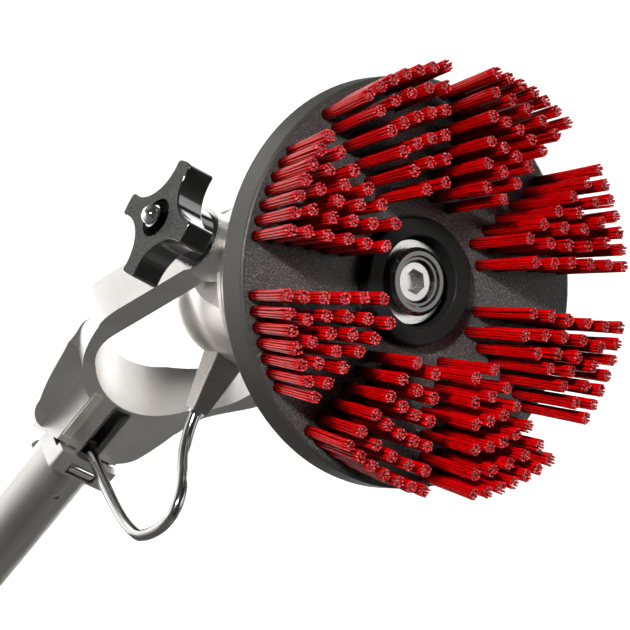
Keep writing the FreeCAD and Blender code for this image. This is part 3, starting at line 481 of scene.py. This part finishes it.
# ---------------------------------------------------------------- camera, floor, light
VIEW_AZIMUTH = math.radians(-35.0)
VIEW_ELEVATION = math.radians(18.4)
VIEW_ROLL = math.radians(39.9)
VIEW_DISTANCE = 1.7982
LENS = 226.8                 # mm
SENSOR_WIDTH = 36.0
AIM_RIGHT = 13.3 * MM
AIM_UP = -13.5 * MM


def camera_axes():
    """Right, up and back of a camera that looks down at the front from its left, rolled."""
    back = Vector((math.sin(VIEW_AZIMUTH) * math.cos(VIEW_ELEVATION),
                   -math.cos(VIEW_AZIMUTH) * math.cos(VIEW_ELEVATION), math.sin(VIEW_ELEVATION)))
    level_right = Vector((math.cos(VIEW_AZIMUTH), math.sin(VIEW_AZIMUTH), 0))
    level_up = back.cross(level_right)
    right = level_right * math.cos(VIEW_ROLL) + level_up * math.sin(VIEW_ROLL)
    return right, back.cross(right), back


def make_camera():
    right, up, back = camera_axes()
    data = bpy.data.cameras.new("camera")
    data.lens = LENS
    data.sensor_width = SENSOR_WIDTH
    data.clip_end = 50
    camera = add_object("camera", data)
    pose = Matrix((right, up, back)).transposed().to_4x4()
    pose.translation = PIVOT + right * AIM_RIGHT + up * AIM_UP + back * VIEW_DISTANCE
    camera.matrix_world = pose
    bpy.context.scene.camera = camera


def area_light(name, place, target, size, power):
    """A soft rectangular lamp that the camera doesn't see."""
    data = bpy.data.lights.new(name, "AREA")
    data.shape = "RECTANGLE"
    data.size, data.size_y = size
    data.energy = power
    light = add_object(name, data)
    light.location = place
    light.rotation_mode = "QUATERNION"
    light.visible_camera = False
    light.rotation_quaternion = (place - target).to_track_quat("Z", "Y")
    return light


class Sky(Nodes):
    """The studio round the object: a grey room with a few soft bright patches."""

    def __init__(self):
        world = bpy.data.worlds.new("studio")
        bpy.context.scene.world = world
        world.use_nodes = True
        super().__init__(world.node_tree)
        self.direction = self.nodes.new("ShaderNodeTexCoord").outputs["Generated"]

    def along(self, direction):
        """Cosine between the sky's direction and a fixed one."""
        dot = self.nodes.new("ShaderNodeVectorMath")
        dot.operation = "DOT_PRODUCT"
        self.link(self.direction, dot.inputs[0])
        dot.inputs[1].default_value = Vector(direction).normalized()
        return dot.outputs["Value"]

    def step(self, value, low, high, strength):
        span = self.nodes.new("ShaderNodeMapRange")
        span.interpolation_type = "SMOOTHSTEP"
        span.inputs["From Min"].default_value = low
        span.inputs["From Max"].default_value = high
        span.inputs["To Max"].default_value = strength
        self.link(value, span.inputs["Value"])
        return span.outputs["Result"]

    def build(self, base, lobes):
        total = base
        for direction, inner, outer, strength in lobes:
            total = self.math("ADD", self.step(self.along(direction), outer, inner, strength), total)
        background = self.nodes["Background"]
        self.feed(SKY_COLOUR, background.inputs["Color"])
        self.link(total, background.inputs["Strength"])


SKY_COLOUR = (1.0, 0.985, 0.96)
SKY_BASE = 0.045
SKY_LOBES = [                # direction, inner cosine, outer cosine, strength
    ((0.8, 0.58, 0.08), 0.97, 0.80, 1.4),
    ((-0.62, 0.78, 0.05), 0.95, 0.6, 0.15),
    ((0.545, -0.483, 0.686), 0.985, 0.93, 1.4),
    ((0.95, -0.25, 0.05), 0.95, 0.75, 0.2),
]


def floor_under(place):
    return Vector((place.x, place.y, 0))


FLOOR_HALF = 30.0
FLOOR_SPREAD = math.radians(30)
KEY_SPREAD = math.radians(14)
BRUSH_AIM = PIVOT + Vector((0, -0.1, 0.03))
FORK_AIM = PIVOT + Vector((0, 0.04, -0.08))
BACKDROP_AT = Vector((0.5, 1.81, 0.6))
SIDE_AT = Vector((-1.4, 0.1, 1.05))
FRONT_AT = Vector((0.8, -1.0, 1.05))
LIGHTS = [                   # name, kind, place, what it faces, size, power
    ("backdrop", "floor", BACKDROP_AT, floor_under(BACKDROP_AT), (4.8, 3.18), 103),
    ("side", "floor", SIDE_AT, floor_under(SIDE_AT), (2.2, 0.5), 7.0),
    ("key", "key", BRUSH_AIM + Vector((-0.8, -0.42, 0.42)) * 2.1, BRUSH_AIM, (0.3, 0.3), 0.7),
    ("sheen", "sheen", FORK_AIM + Vector((0.6, 0.2, 0.78)) * 1.2, FORK_AIM, (0.5, 1.35), 3.4),
    ("flank_sheen", "sheen", FORK_AIM + Vector((0.54, 0.68, 0.42)) * 1.2, FORK_AIM, (0.7, 0.7), 4.0),
    ("rim_sheen", "sheen", BRUSH_AIM + Vector((-0.44, 1.1, -0.16)), BRUSH_AIM, (0.42, 0.42), 0.9),
    ("dome_sheen", "sheen", Vector((0.03, 0.24, 0.10)), PIVOT, (0.34, 0.26), 0.34),
    ("front_floor", "floor", FRONT_AT, floor_under(FRONT_AT), (1.0, 1.0), 1.0),
]


def make_floor():
    near, far = -FLOOR_HALF, FLOOR_HALF
    mesh = bpy.data.meshes.new("floor")
    mesh.from_pydata([(near, near, 0), (far, near, 0), (far, far, 0), (near, far, 0)], [], [(0, 1, 2, 3)])
    floor = add_object("floor", mesh)
    tree = Tree("floor")
    tree.set(Base_Color=tree.ramp(tree.noise(3, 2), [(0.3, 0.57), (0.7, 0.59)]), Roughness=0.9)
    dress(floor, tree.material)


def make_lights():
    """Floor lights aren't mirrored in the object, and sheens are seen only as reflections."""
    for name, kind, place, target, size, power in LIGHTS:
        light = area_light(name, place, target, size, power)
        if kind == "floor":
            light.data.spread = FLOOR_SPREAD
            light.visible_glossy = False
        elif kind == "key":
            light.data.spread = KEY_SPREAD
        else:
            light.visible_diffuse = False


def make_stage():
    make_floor()
    Sky().build(SKY_BASE, SKY_LOBES)
    make_lights()
    bpy.context.scene.view_settings.view_transform = "Standard"
    bpy.context.scene.view_settings.look = "None"


# ---------------------------------------------------------------- make everything
dress_cad_nodes()
for sector_no in range(SECTORS):
    bristle_sector(sector_no)
feed_line()
make_camera()
make_stage()
